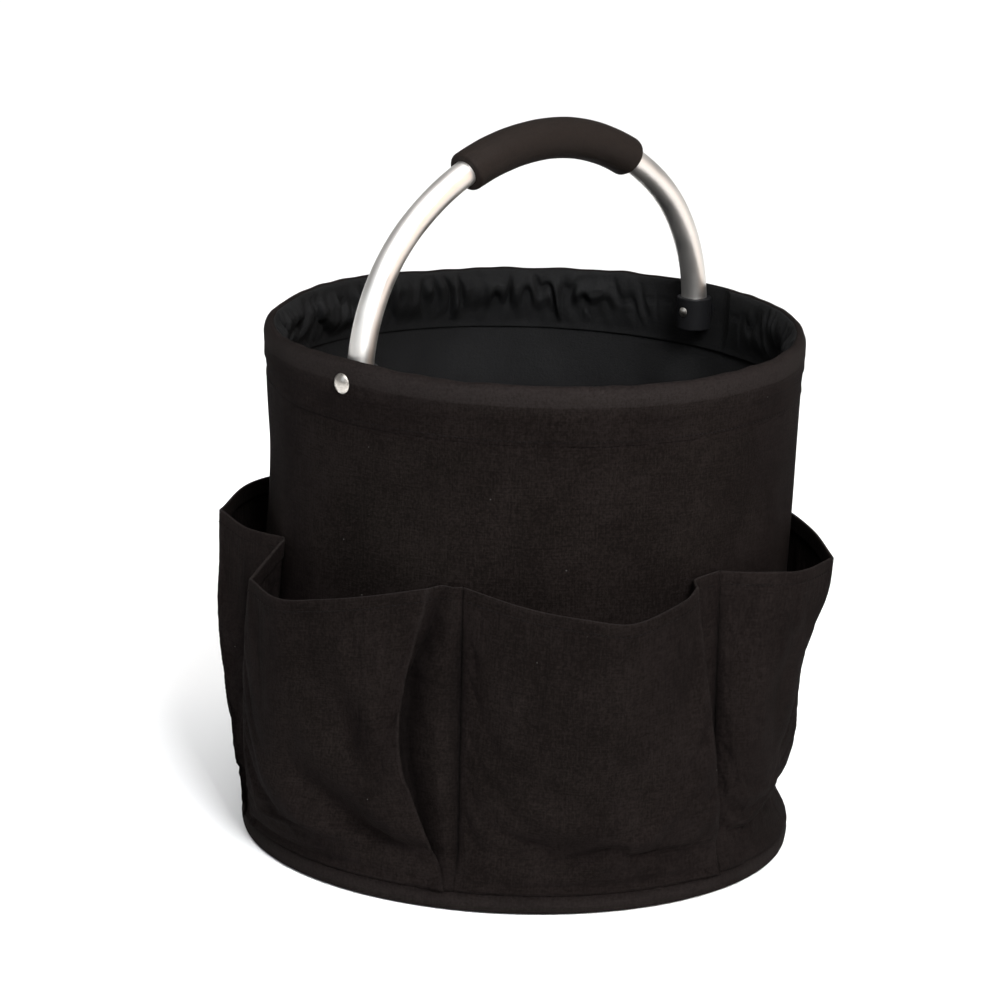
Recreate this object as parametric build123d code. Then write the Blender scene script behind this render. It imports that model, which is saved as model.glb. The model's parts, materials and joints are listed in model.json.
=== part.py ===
from build123d import *
import os
from math import cos, degrees, atan2, hypot, radians, sin, sqrt

# Round canvas garden tool bag with outside pockets and a swinging tube handle.
# Millimetres, +Z up. The origin is on the ground under the middle of the base, and both handle pivots lie on X.

# Fabric
CANVAS = 0.8
LINING = 0.6
FABRIC_GAP = 0.1

# Rim casing, with the hoop inside it
RIM_RADIUS = 165.0
RIM_INNER_RADIUS = 161.2
RIM_TOP = 323.0
RIM_SEAM = 288.0
CASING_THICKNESS = RIM_RADIUS - RIM_INNER_RADIUS
FOLD_ROUND_SHARE = 0.48
HOOP_INNER_RADIUS = 162.15
HOOP_OUTER_RADIUS = 164.05
HOOP_BOTTOM = 302.0
HOOP_TOP = 318.0
HOOP_GAP = 2.0
SPLICE_ANGLE = 15.0
SPLICE_WALL = 0.12
SPLICE_OVERHANG = 1.5

# Side wall: outside radius against height. Its foot flares out to the binding, and is a piece of its own.
FOOT_PROFILE = ((168.5, 1.1), (168.5, 12.5), (160.2, 34.0))
WALL_PROFILE = ((160.2, 34.0 + FABRIC_GAP), (162.0, 80.0), (162.8, 140.0), (163.6, RIM_SEAM - FABRIC_GAP))
FOOT_RADIUS = FOOT_PROFILE[0][0]

# Base
BASE_FABRIC = 1.0
BOARD_RADIUS = 164.0
BOARD_THICKNESS = 3.0
FLOOR_LINING_BOTTOM = 4.4
BINDING_OUTER_RADIUS = 171.4
BINDING_INNER_RADIUS = 168.6
BINDING_BOTTOM = 0.4
BINDING_TOP = 12.0
BINDING_ROUND = 1.35

# Pockets: each is a panel between two seams, open at the top. A pocket gives the polar angles of its two seams at the
# hem and at the foot, the three middle points of its hem as (angle, radius), and the hem's height.
POCKET_FOOT = 12.2
PANEL_OFFSET = 0.4
PANEL_THICKNESS = 1.0
SEAM_STAND_OFF = 0.8
SEAM_GAP_ANGLE = 0.15
PLEAT_FOOT_ANGLE = 2.5
HEM_STEPS = 3
BELLY = ((34.0, 0.35), (80.0, 0.6))
POCKETS = {
    "pocket_left_rear": ((96, 157), (90, 150), ((116, 178), (137, 192), (150, 177)), 200.0),
    "pocket_left": ((157, 210), (150, 211), ((165.5, 197), (183, 196.5), (203, 174)), 188.0),
    "pocket_front": ((210, 268), (211, 270), ((220, 180), (241, 197), (257, 179)), 193.0),
    "pocket_right_front": ((268, 328), (270, 330), ((281, 184), (297, 195), (315, 172)), 197.0),
    "pocket_right": ((328, 391), (330, 390), ((342, 189), (361, 196.3), (379, 187)), 194.0),
    "pocket_back": ((391, 456), (390, 450), ((405, 186), (424, 194), (444, 182)), 195.0),
}

# Handle: a tube bent as a three-centred arch that stands on the pivot axis
PIVOT_HEIGHT = 310.0
ARCH_HALF_SPAN = 150.0
ARCH_RISE = 127.5
ARCH_SIDE_RADIUS = 115.0
TUBE_RADIUS = 8.0
TUBE_WALL = 1.2
TUBE_TAIL = 8.5
GRIP_RADIUS = 12.75
GRIP_LEFT = -70.0
GRIP_RIGHT = 87.0
GRIP_END_ROUND = 2.5

# Sockets, plugs and pivots at the tube's ends
SOCKET_RADIUS = 11.0
SOCKET_BOTTOM = 298.5
SOCKET_TOP = 319.0
SOCKET_ROUND = 1.0
SWING_CLEAR_RADIUS = 160.0
RUNNING_GAP = 0.05
PLUG_TOP = 316.0
PIVOT_RADIUS = 2.5
RIVET_HEAD_RADIUS = 6.2
RIVET_HEAD_HEIGHT = 2.6
RIVET_END_RADIUS = 3.25
RIVET_END_INNER = 138.4
RIVET_END_OUTER = 139.6
RIVET_END_CLEARANCE = 0.4
WASHER_RADIUS = 7.0
WASHER_THICKNESS = 0.75
WASHER_INNER_FACE = 160.3


def revolved(points):
    """Solid of revolution about Z of a closed (radius, height) outline."""
    return revolve(Plane.XZ * make_face(Polyline(*points, close=True)), axis=Axis.Z)


def ring(inner, outer, bottom, top):
    return revolved([(inner, bottom), (outer, bottom), (outer, top), (inner, top)])


def disc(radius, bottom, thickness):
    return Pos(0, 0, bottom + thickness / 2) * Cylinder(radius, thickness)


def polar(radius, angle):
    return (radius * cos(radians(angle)), radius * sin(radians(angle)))


def pivot_bore(radius):
    """One long cylinder along the pivot axis, right across the bag."""
    return Pos(0, 0, PIVOT_HEIGHT) * Rot(0, 90, 0) * Cylinder(radius, 3 * RIM_RADIUS)


def right_and_left(shape):
    """The piece as made at +X, and its twin at -X."""
    return {"right": shape, "left": Rot(0, 0, 180) * shape}


def offset_profile(profile, inwards):
    return [(radius - inwards, height) for radius, height in profile]


# Fabric shell


def canvas_band(profile):
    return revolved(list(profile) + offset_profile(profile, CANVAS)[::-1])


def outer_wall():
    return canvas_band(WALL_PROFILE)


def wall_foot():
    return canvas_band(FOOT_PROFILE)


def wall_lining():
    start = CANVAS + FABRIC_GAP
    foot = FLOOR_LINING_BOTTOM + LINING + FABRIC_GAP
    profile = [(FOOT_RADIUS, foot), *FOOT_PROFILE[1:], *WALL_PROFILE[1:]]
    outer = offset_profile(profile, start)
    inner = offset_profile(profile, start + LINING)
    return revolved(outer + inner[::-1])


def rounded_ring(inner, outer, bottom, top, radius):
    section = Pos((inner + outer) / 2, (bottom + top) / 2) * RectangleRounded(outer - inner, top - bottom, radius)
    return revolve(Plane.XZ * section, axis=Axis.Z)


def rim_casing():
    """Folded canvas sleeve around the hoop, hollow, with a hole for each pivot rivet."""
    outside = rounded_ring(RIM_INNER_RADIUS, RIM_RADIUS, RIM_SEAM, RIM_TOP, FOLD_ROUND_SHARE * CASING_THICKNESS)
    hollow = rounded_ring(
        RIM_INNER_RADIUS + CANVAS,
        RIM_RADIUS - CANVAS,
        RIM_SEAM + CANVAS,
        RIM_TOP - CANVAS,
        FOLD_ROUND_SHARE * (CASING_THICKNESS - 2 * CANVAS),
    )
    return outside - hollow - pivot_bore(PIVOT_RADIUS)


def rim_hoop():
    """Flat spring hoop, cut once at the back so that it could be sprung into the casing."""
    hoop = ring(HOOP_INNER_RADIUS, HOOP_OUTER_RADIUS, HOOP_BOTTOM, HOOP_TOP)
    cut = Pos(0, RIM_RADIUS, PIVOT_HEIGHT) * Box(HOOP_GAP, 4 * CASING_THICKNESS, 2 * (HOOP_TOP - HOOP_BOTTOM))
    return hoop - cut - pivot_bore(PIVOT_RADIUS)


def hoop_splice():
    """Thin sleeve over the hoop's cut."""
    bottom = HOOP_BOTTOM - SPLICE_OVERHANG
    top = HOOP_TOP + SPLICE_OVERHANG
    sleeve = ring(HOOP_INNER_RADIUS - SPLICE_WALL, HOOP_OUTER_RADIUS + SPLICE_WALL, bottom, top)
    sleeve -= ring(HOOP_INNER_RADIUS, HOOP_OUTER_RADIUS, HOOP_BOTTOM, HOOP_TOP)
    half_width = RIM_RADIUS * sin(radians(SPLICE_ANGLE / 2))
    window = Pos(0, RIM_RADIUS, PIVOT_HEIGHT) * Box(2 * half_width, 4 * CASING_THICKNESS, 2 * (top - bottom))
    return sleeve & window


# Base


def base_fabric():
    return disc(FOOT_RADIUS, 0.0, BASE_FABRIC)


def base_board():
    return disc(BOARD_RADIUS, BASE_FABRIC + FABRIC_GAP, BOARD_THICKNESS)


def floor_lining():
    return disc(FOOT_RADIUS - CANVAS - 2 * FABRIC_GAP - LINING, FLOOR_LINING_BOTTOM, LINING)


def bottom_binding():
    return rounded_ring(BINDING_INNER_RADIUS, BINDING_OUTER_RADIUS, BINDING_BOTTOM, BINDING_TOP, BINDING_ROUND)


# Pockets


def wall_radius(height):
    """Outside radius of the side wall at a height."""
    profile = FOOT_PROFILE + WALL_PROFILE
    for (radius_1, height_1), (radius_2, height_2) in zip(profile, profile[1:]):
        if height_1 <= height <= height_2:
            return radius_1 + (radius_2 - radius_1) * (height - height_1) / (height_2 - height_1)
    return WALL_PROFILE[-1][0]


def hem_outline(hem_seams, foot_seams, corners, hem_height):
    """The hem as (angle, foot angle, stand-off) points, with extra points along each straight run."""
    base = wall_radius(hem_height) + PANEL_OFFSET + PANEL_THICKNESS
    first = (hem_seams[0] + SEAM_GAP_ANGLE, base + SEAM_STAND_OFF)
    last = (hem_seams[1] - SEAM_GAP_ANGLE, base + SEAM_STAND_OFF)
    foot_first = foot_seams[0] + SEAM_GAP_ANGLE
    foot_last = foot_seams[1] - SEAM_GAP_ANGLE
    foot_middle = (foot_first + foot_last) / 2
    foot_angles = [foot_first, foot_first + PLEAT_FOOT_ANGLE, foot_middle, foot_last - PLEAT_FOOT_ANGLE, foot_last]
    knots = list(zip([first, *corners, last], foot_angles))
    points = [(first[0], foot_first, SEAM_STAND_OFF)]
    for ((angle_1, radius_1), foot_1), ((angle_2, radius_2), foot_2) in zip(knots, knots[1:]):
        x1, y1 = polar(radius_1, angle_1)
        x2, y2 = polar(radius_2, angle_2)
        for step in range(1, HEM_STEPS + 1):
            share = step / HEM_STEPS
            x = x1 + share * (x2 - x1)
            y = y1 + share * (y2 - y1)
            angle = degrees(atan2(y, x)) % 360
            angle += 360 * round((angle_1 - angle) / 360)
            points.append((angle, foot_1 + share * (foot_2 - foot_1), hypot(x, y) - base))
    return points


def panel_levels(hem_height):
    """Heights at which a panel's section is given, with its share of the hem's stand-off at each."""
    return ((POCKET_FOOT, 0.0), *BELLY, (hem_height, 1.0))


def panel_route(outline, height, share, hem_height):
    """Inside face of a panel at a height, as (radius, angle) points."""
    base = wall_radius(height) + PANEL_OFFSET
    climb = (height - POCKET_FOOT) / (hem_height - POCKET_FOOT)
    return [
        (base + share * stand_off, foot_angle + climb * (angle - foot_angle))
        for angle, foot_angle, stand_off in outline
    ]


def pocket_panel(hem_seams, foot_seams, corners, hem_height):
    """Panel of one pocket: a band that lies on the wall at its foot and seams, and stands off in between."""
    outline = hem_outline(hem_seams, foot_seams, corners, hem_height)
    sections = []
    for height, share in panel_levels(hem_height):
        route = panel_route(outline, height, share, hem_height)
        inside = [polar(radius, angle) for radius, angle in route]
        outside = [polar(radius + PANEL_THICKNESS, angle) for radius, angle in route]
        sections.append(Pos(0, 0, height) * make_face(Polyline(*outside, *inside[::-1], close=True)))
    return loft(sections, ruled=True)


# Handle


def arch_top_radius():
    """Radius of the top arc that meets both side arcs in a tangent."""
    span, rise, side = ARCH_HALF_SPAN, ARCH_RISE, ARCH_SIDE_RADIUS
    return (span**2 + rise**2 - 2 * span * side) / (2 * (rise - side))


def arch_path():
    """Centre line of the tube: a short straight tail, side arc, top arc, side arc and tail."""
    top_radius = arch_top_radius()
    side_centre = (ARCH_HALF_SPAN - ARCH_SIDE_RADIUS, PIVOT_HEIGHT)
    top_centre = (0, PIVOT_HEIGHT + ARCH_RISE - top_radius)
    side_sweep = degrees(atan2(side_centre[1] - top_centre[1], side_centre[0]))
    right_tail = Line((ARCH_HALF_SPAN, PIVOT_HEIGHT - TUBE_TAIL), (ARCH_HALF_SPAN, PIVOT_HEIGHT))
    right_arc = CenterArc(side_centre, ARCH_SIDE_RADIUS, 0, side_sweep)
    top_arc = CenterArc(top_centre, top_radius, side_sweep, 180 - 2 * side_sweep)
    left_arc = CenterArc((-side_centre[0], side_centre[1]), ARCH_SIDE_RADIUS, 180 - side_sweep, side_sweep)
    left_tail = Line((-ARCH_HALF_SPAN, PIVOT_HEIGHT), (-ARCH_HALF_SPAN, PIVOT_HEIGHT - TUBE_TAIL))
    return Plane.XZ * Wire([right_tail, right_arc, top_arc, left_arc, left_tail])


def rod_along(path, radius):
    return sweep((path ^ 0) * Circle(radius), path=path)


def handle_rod(radius):
    return rod_along(arch_path(), radius)


def handle_tube():
    return handle_rod(TUBE_RADIUS) - handle_rod(TUBE_RADIUS - TUBE_WALL) - pivot_bore(PIVOT_RADIUS + RUNNING_GAP)


def grip_path():
    """The stretch of the top arc that the foam covers."""
    top_radius = arch_top_radius()
    centre = (0, PIVOT_HEIGHT + ARCH_RISE - top_radius)
    start = degrees(atan2(sqrt(top_radius**2 - GRIP_RIGHT**2), GRIP_RIGHT))
    end = degrees(atan2(sqrt(top_radius**2 - GRIP_LEFT**2), GRIP_LEFT))
    return Plane.XZ * CenterArc(centre, top_radius, start, end - start)


def foam_grip():
    path = grip_path()
    rod = rod_along(path, GRIP_RADIUS)
    ends = rod.faces().filter_by(GeomType.PLANE).edges()
    return fillet(ends, GRIP_END_ROUND) - rod_along(path, TUBE_RADIUS + RUNNING_GAP)


def handle_socket():
    """Moulded barrel at +X: closed below, rounded outboard so that it clears the casing as it swings."""
    middle = (SOCKET_BOTTOM + SOCKET_TOP) / 2
    barrel = Cylinder(SOCKET_RADIUS, SOCKET_TOP - SOCKET_BOTTOM)
    barrel = fillet(barrel.edges().filter_by(GeomType.CIRCLE), SOCKET_ROUND)
    barrel = Pos(ARCH_HALF_SPAN, 0, middle) * barrel
    barrel &= Pos(0, 0, PIVOT_HEIGHT) * Sphere(SWING_CLEAR_RADIUS)
    barrel -= handle_rod(TUBE_RADIUS + RUNNING_GAP)
    recess_depth = RIVET_END_OUTER + RIVET_END_CLEARANCE - RIVET_END_INNER + SOCKET_RADIUS
    recess_middle = RIVET_END_OUTER + RIVET_END_CLEARANCE - recess_depth / 2
    recess = Rot(0, 90, 0) * Cylinder(RIVET_END_RADIUS + RIVET_END_CLEARANCE, recess_depth)
    barrel -= Pos(recess_middle, 0, PIVOT_HEIGHT) * recess
    return barrel - pivot_bore(PIVOT_RADIUS + RUNNING_GAP)


def tube_plug():
    """Plug in the tube's end at +X, which keeps the tube round when the pivot is riveted."""
    height = PLUG_TOP - (PIVOT_HEIGHT - TUBE_TAIL)
    window = Pos(ARCH_HALF_SPAN, 0, PLUG_TOP - height / 2) * Box(3 * TUBE_RADIUS, 3 * TUBE_RADIUS, height)
    plug = handle_rod(TUBE_RADIUS - TUBE_WALL - RUNNING_GAP) & window
    return plug - pivot_bore(PIVOT_RADIUS + RUNNING_GAP)


# Pivots


def dome(radius, height):
    """Low dome with its flat side on the XY plane."""
    sphere_radius = (radius**2 + height**2) / (2 * height)
    slab = Pos(0, 0, height / 2) * Cylinder(2 * radius, height)
    return Pos(0, 0, height - sphere_radius) * Sphere(sphere_radius) & slab


def pivot_rivet():
    """Rivet at +X: a domed head outside the canvas, a shank, and a small closed end inside the socket."""
    head_start = RIM_RADIUS + RUNNING_GAP
    shank_length = head_start - RIVET_END_OUTER
    shank = Pos(RIVET_END_OUTER + shank_length / 2, 0, 0) * Rot(0, 90, 0) * Cylinder(PIVOT_RADIUS, shank_length)
    head = Pos(head_start, 0, 0) * Rot(0, 90, 0) * dome(RIVET_HEAD_RADIUS, RIVET_HEAD_HEIGHT)
    end = Pos(RIVET_END_OUTER, 0, 0) * Rot(0, -90, 0) * dome(RIVET_END_RADIUS, RIVET_END_OUTER - RIVET_END_INNER)
    return Pos(0, 0, PIVOT_HEIGHT) * (shank + head + end)


def pivot_washer():
    """Slip washer at +X, between the casing and the socket."""
    washer = Cylinder(WASHER_RADIUS, WASHER_THICKNESS) - Cylinder(PIVOT_RADIUS, 2 * WASHER_THICKNESS)
    return Pos(WASHER_INNER_FACE + WASHER_THICKNESS / 2, 0, PIVOT_HEIGHT) * Rot(0, 90, 0) * washer


def all_pieces():
    pieces = {
        "outer_wall": outer_wall(),
        "wall_foot": wall_foot(),
        "wall_lining": wall_lining(),
        "rim_casing": rim_casing(),
        "rim_hoop": rim_hoop(),
        "hoop_splice": hoop_splice(),
        "base_fabric": base_fabric(),
        "base_board": base_board(),
        "floor_lining": floor_lining(),
        "bottom_binding": bottom_binding(),
        "handle_tube": handle_tube(),
        "foam_grip": foam_grip(),
    }
    for name, (hem_seams, foot_seams, corners, hem_height) in POCKETS.items():
        pieces[name] = pocket_panel(hem_seams, foot_seams, corners, hem_height)
    paired = {
        "handle_socket": handle_socket(),
        "tube_plug": tube_plug(),
        "pivot_rivet": pivot_rivet(),
        "pivot_washer": pivot_washer(),
    }
    for name, shape in paired.items():
        for side, placed in right_and_left(shape).items():
            pieces[f"{name}_{side}"] = placed
    return pieces


os.makedirs("parts", exist_ok=True)
for node, shape in all_pieces().items():
    export_step(shape, f"parts/{node}.step")
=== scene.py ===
import json
import math

import bpy
import numpy as np
from mathutils import Matrix, Vector


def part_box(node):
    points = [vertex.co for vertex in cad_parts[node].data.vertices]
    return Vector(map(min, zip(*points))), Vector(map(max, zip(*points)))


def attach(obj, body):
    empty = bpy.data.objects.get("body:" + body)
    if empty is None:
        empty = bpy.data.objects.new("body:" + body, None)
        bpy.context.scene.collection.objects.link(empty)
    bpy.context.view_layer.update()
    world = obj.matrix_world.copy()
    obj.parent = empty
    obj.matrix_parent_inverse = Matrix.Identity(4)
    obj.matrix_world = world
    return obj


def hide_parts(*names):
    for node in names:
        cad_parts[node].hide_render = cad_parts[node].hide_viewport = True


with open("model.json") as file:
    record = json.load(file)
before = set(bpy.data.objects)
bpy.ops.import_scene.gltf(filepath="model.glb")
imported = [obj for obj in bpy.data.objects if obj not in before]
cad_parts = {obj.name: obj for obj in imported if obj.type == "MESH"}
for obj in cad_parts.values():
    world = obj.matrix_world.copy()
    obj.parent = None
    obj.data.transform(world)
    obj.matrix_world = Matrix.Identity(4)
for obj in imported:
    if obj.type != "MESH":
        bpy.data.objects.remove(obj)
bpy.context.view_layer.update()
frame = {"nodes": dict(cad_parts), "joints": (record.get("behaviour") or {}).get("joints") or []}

# Round canvas garden tool bag. Lengths below are in millimetres unless a name says otherwise, and meshes are written
# in metres. Polar angles are in degrees about the bag's axis, from +X towards +Y.

MM = 0.001

# ------------------------------------------------------------
# Sizes, read from the frame where the frame has them

PIVOT_HEIGHT = frame["joints"][0]["pos_m"][2] / MM
RIM_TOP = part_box("rim_casing")[1][2] / MM
RIM_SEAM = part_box("rim_casing")[0][2] / MM
POCKET_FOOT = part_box("pocket_front")[0][2] / MM
FLOOR_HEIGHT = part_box("floor_lining")[1][2] / MM
FLOOR_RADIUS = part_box("floor_lining")[1][0] / MM
BASE_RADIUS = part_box("base_fabric")[1][0] / MM
TUBE_BOX = [[value / MM for value in corner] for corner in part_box("handle_tube")]
GRIP_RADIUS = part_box("foam_grip")[1][1] / MM
TUBE_RADIUS = TUBE_BOX[1][1]
CANVAS = 0.8
LINING = 0.5

# The handle's centre line: an arc at each side, and one over the top that runs into both
ARCH_HALF_SPAN = TUBE_BOX[1][0] - TUBE_RADIUS
ARCH_RISE = TUBE_BOX[1][2] - TUBE_RADIUS - PIVOT_HEIGHT
ARCH_SIDE_RADIUS = 115.0
ARCH_TOP_RADIUS = (ARCH_HALF_SPAN**2 + ARCH_RISE**2 - 2 * ARCH_HALF_SPAN * ARCH_SIDE_RADIUS) / (
    2 * (ARCH_RISE - ARCH_SIDE_RADIUS)
)

# Outside radius of the wall against height
WALL_HEIGHTS = (0.0, 12.0, 22.0, 36.0, 60.0, 100.0, 160.0, 230.0, RIM_SEAM)
WALL_RADII = (168.3, 168.0, 164.2, 160.6, 161.2, 162.2, 162.9, 163.3, 163.7)


def wave_sum(seed, angle, height, most_waves, height_wave, count=9):
    """Smooth seeded noise about the bag, near -1 to 1: angle in degrees, height in millimetres."""
    rng = np.random.default_rng(seed)
    total = 0.0
    turn = np.radians(angle)
    for _ in range(count):
        waves = int(rng.integers(2, most_waves + 1))
        tilt = rng.uniform(-1.0, 1.0) * 2 * math.pi / height_wave
        total = total + np.cos(waves * turn + tilt * height + rng.uniform(0, 2 * math.pi))
    return total * 1.4 / math.sqrt(2 * count)


def smooth_curve(xs, ys, x):
    """Monotone cubic through the points, so that a profile never overshoots its knots."""
    xs, ys, x = np.asarray(xs, float), np.asarray(ys, float), np.asarray(x, float)
    steps = np.diff(xs)
    slopes = np.diff(ys) / steps
    tangents = np.zeros(len(xs))
    tangents[0], tangents[-1] = slopes[0], slopes[-1]
    same = slopes[:-1] * slopes[1:] > 0
    left, right = slopes[:-1][same], slopes[1:][same]
    tangents[1:-1][same] = 2 * left * right / (left + right)
    cell = np.clip(np.searchsorted(xs, x) - 1, 0, len(xs) - 2)
    t = np.clip((x - xs[cell]) / steps[cell], 0, 1)
    h = steps[cell]
    return (
        (1 + 2 * t) * (1 - t) ** 2 * ys[cell]
        + t * (1 - t) ** 2 * h * tangents[cell]
        + t**2 * (3 - 2 * t) * ys[cell + 1]
        + t**2 * (t - 1) * h * tangents[cell + 1]
    )


def smooth_step(low, high, x):
    """Eased ramp from 0 at low to 1 at high. With low above high it falls instead."""
    t = np.clip((np.asarray(x, float) - low) / (high - low), 0, 1)
    return t * t * (3 - 2 * t)


def angle_gap(angle, other):
    """Signed difference of two angles, from -180 to 180 degrees."""
    return (np.asarray(angle, float) - other + 180) % 360 - 180


def from_pivot(angle):
    """Degrees round the rim to the nearer handle pivot."""
    return np.minimum(np.abs(angle_gap(angle, 0)), np.abs(angle_gap(angle, 180)))


def out_of_round(angle, height):
    """How far the soft bag stands out of its true round, in millimetres: a bulge at the camera's
    right, a hollow over the left pockets, and a foot set a little to one side."""
    bulge = 2.2 * np.exp(-((angle_gap(angle, 312) / 46.0) ** 2)) * smooth_step(90, RIM_TOP, height)
    hollow = 2.4 * np.exp(-((angle_gap(angle, 136) / 34.0) ** 2) - ((height - 228) / 52.0) ** 2)
    lean = 1.6 * np.cos(np.radians(angle_gap(angle, 196))) * smooth_step(60, 14, height)
    return bulge - hollow + lean


def wall_surface(angle, height):
    """Outside radius of the wall, with the broad soft dents of standing canvas."""
    radius = smooth_curve(WALL_HEIGHTS, WALL_RADII, height) + out_of_round(angle, height)
    loose = smooth_step(20, 90, height) * smooth_step(RIM_SEAM + 6, 240, height)
    dents = 0.75 * wave_sum(3, angle, height, 9, 260) + 0.30 * wave_sum(5, angle, height, 26, 120)
    pucker = 0.12 * np.cos(np.radians(angle) * 71 + 3.2 * wave_sum(8, angle, height, 20, 90))
    near_seam = np.exp(-(((height - RIM_SEAM) / 9.0) ** 2))
    return radius + loose * dents - 0.5 * loose + pucker * near_seam


# ------------------------------------------------------------
# Mesh helpers


def polar_points(radius, angle, height):
    turn = np.radians(angle)
    return np.stack([radius * np.cos(turn), radius * np.sin(turn), height + 0 * turn], axis=-1)


def add_object(name, mesh, material):
    thing = bpy.data.objects.new(name, mesh)
    bpy.context.scene.collection.objects.link(thing)
    mesh.materials.append(material)
    return thing


def running_lengths(points, closed):
    """Place of each grid point on the flat cloth, from the mean lengths of the grid's rows and columns."""
    looped = np.concatenate([points, points[:1]]) if closed else points
    across = np.linalg.norm(np.diff(looped, axis=0), axis=-1).mean(axis=1)
    along = np.linalg.norm(np.diff(points, axis=1), axis=-1).mean(axis=0)
    u = np.concatenate([[0], np.cumsum(across)])
    v = np.concatenate([[0], np.cumsum(along)])
    return np.stack(np.meshgrid(u, v, indexing="ij"), axis=-1)


def grid_object(name, points, material, closed=False, wear_and_shade=0.0):
    """Mesh from a grid of points in millimetres. It gets a flat cloth layout in metres for the weave, and wear and
    painted shade at each point: from 0 to 1 for paler, rubbed cloth, and from 0 to -1 for painted shade, a near-black
    standing in for the shade inside a fold or along a seam."""
    across, along = points.shape[:2]
    mesh = bpy.data.meshes.new(name)
    number = np.arange(across * along).reshape(across, along)
    if closed:
        number = np.concatenate([number, number[:1]])
    quads = np.stack([number[:-1, :-1], number[1:, :-1], number[1:, 1:], number[:-1, 1:]], -1).reshape(-1, 4)
    mesh.from_pydata((points.reshape(-1, 3) * MM).tolist(), [], quads.tolist())
    cloth = running_lengths(points, closed)
    corners = np.stack([cloth[:-1, :-1], cloth[1:, :-1], cloth[1:, 1:], cloth[:-1, 1:]], -2).reshape(-1, 2)
    layer = mesh.uv_layers.new(name="cloth")
    layer.data.foreach_set("uv", (corners * MM).astype(np.float32).ravel())
    attribute = mesh.attributes.new("wear_and_shade", "FLOAT", "POINT")
    values = np.broadcast_to(np.asarray(wear_and_shade, np.float32), (across, along))
    attribute.data.foreach_set("value", np.ascontiguousarray(values).ravel())
    mesh.shade_smooth()
    return add_object(name, mesh, material)


def thicken(piece, thickness):
    """Gives a sheet its cloth's thickness, inwards from the face that was drawn."""
    solid = piece.modifiers.new("cloth", "SOLIDIFY")
    solid.thickness = thickness * MM
    solid.offset = -1.0
    return piece


STITCH_LENGTH = 2.5
THREAD_RADIUS = 0.33


def sewn(name, route, outward, closed=False, pitch=3.4):
    """Row of thread stitches along a route of points, each a small capsule lying on the cloth."""
    route = np.asarray(route, float)
    outward = np.asarray(outward, float)
    if closed:
        route = np.concatenate([route, route[:1]])
        outward = np.concatenate([outward, outward[:1]])
    reach = np.concatenate([[0], np.cumsum(np.linalg.norm(np.diff(route, axis=0), axis=1))])
    sides, rings = 6, ((-1.0, 0.0), (-0.8, 0.75), (0.0, 1.0), (0.8, 0.75), (1.0, 0.0))
    vertices, faces = [], []
    for middle in np.arange(pitch / 2, reach[-1] - pitch / 2, pitch):
        before, centre, after = (
            np.array([np.interp(middle + step, reach, route[:, axis]) for axis in range(3)]) for step in (-1, 0, 1)
        )
        up = np.array([np.interp(middle, reach, outward[:, axis]) for axis in range(3)])
        ahead = (after - before) / np.linalg.norm(after - before)
        up -= ahead * up.dot(ahead)
        up /= np.linalg.norm(up)
        side = np.cross(ahead, up)
        first = len(vertices)
        for place, width in rings:
            spot = centre + ahead * place * STITCH_LENGTH / 2 + up * 0.35 * THREAD_RADIUS * (1 - place**2)
            for turn in np.arange(sides) * 2 * math.pi / sides:
                swing = side * math.cos(turn) * 1.25 + up * math.sin(turn)
                vertices.append((spot + swing * THREAD_RADIUS * max(width, 0.15)) * MM)
        for ring in range(len(rings) - 1):
            for k in range(sides):
                a, b = first + ring * sides + k, first + ring * sides + (k + 1) % sides
                faces.append((a, b, b + sides, a + sides))
        last = first + (len(rings) - 1) * sides
        faces.append(tuple(first + k for k in reversed(range(sides))))
        faces.append(tuple(last + k for k in range(sides)))
    mesh = bpy.data.meshes.new(name)
    mesh.from_pydata([tuple(v) for v in vertices], [], faces)
    mesh.shade_smooth()
    ready(add_object(name, mesh, THREAD), "canvas")


def ring_route(radius_at, height, count=720):
    """Points and outward directions round the bag at one height."""
    angle = np.arange(count) * 360.0 / count
    points = polar_points(radius_at(angle), angle, np.full(count, height))
    return points, polar_points(np.ones(count), angle, np.zeros(count))


# ------------------------------------------------------------
# Materials


def new_material(name):
    material = bpy.data.materials.new(name)
    material.use_nodes = True
    tree = material.node_tree
    tree.nodes.clear()
    shader = tree.nodes.new("ShaderNodeBsdfPrincipled")
    output = tree.nodes.new("ShaderNodeOutputMaterial")
    tree.links.new(shader.outputs[0], output.inputs[0])
    return material, tree, shader


def node(tree, kind, values=None, output=0, **settings):
    """New shader node's output. values gives its inputs by name or number: a socket is linked, the rest are set."""
    made = tree.nodes.new(kind)
    for name, setting in settings.items():
        setattr(made, name, setting)
    for key, value in (values or {}).items():
        if isinstance(value, bpy.types.NodeSocket):
            tree.links.new(value, made.inputs[key])
        else:
            made.inputs[key].default_value = value
    return made.outputs[output]


def maths(tree, operation, *values):
    return node(tree, "ShaderNodeMath", dict(enumerate(values)), operation=operation)


def noise(tree, place, size, detail=2.0):
    """Noise whose lumps are about size metres across."""
    return node(tree, "ShaderNodeTexNoise", {"Vector": place, "Scale": 1 / size, "Detail": detail})


def ranged(tree, value, low, high, to_low=0.0, to_high=1.0):
    return node(tree, "ShaderNodeMapRange", {0: value, 1: low, 2: high, 3: to_low, 4: to_high})


def mixed(tree, factor, first, second):
    """Colour between two, each a socket or three numbers."""
    ends = [end if isinstance(end, bpy.types.NodeSocket) else (*end, 1.0) for end in (first, second)]
    return node(tree, "ShaderNodeMix", {0: factor, 6: ends[0], 7: ends[1]}, output=2, data_type="RGBA")


def bump(tree, height, distance, before=None):
    values = {"Height": height, "Distance": distance}
    if before is not None:
        values["Normal"] = before
    return node(tree, "ShaderNodeBump", values)


def object_place(tree):
    return node(tree, "ShaderNodeTexCoord", output=3)


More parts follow.
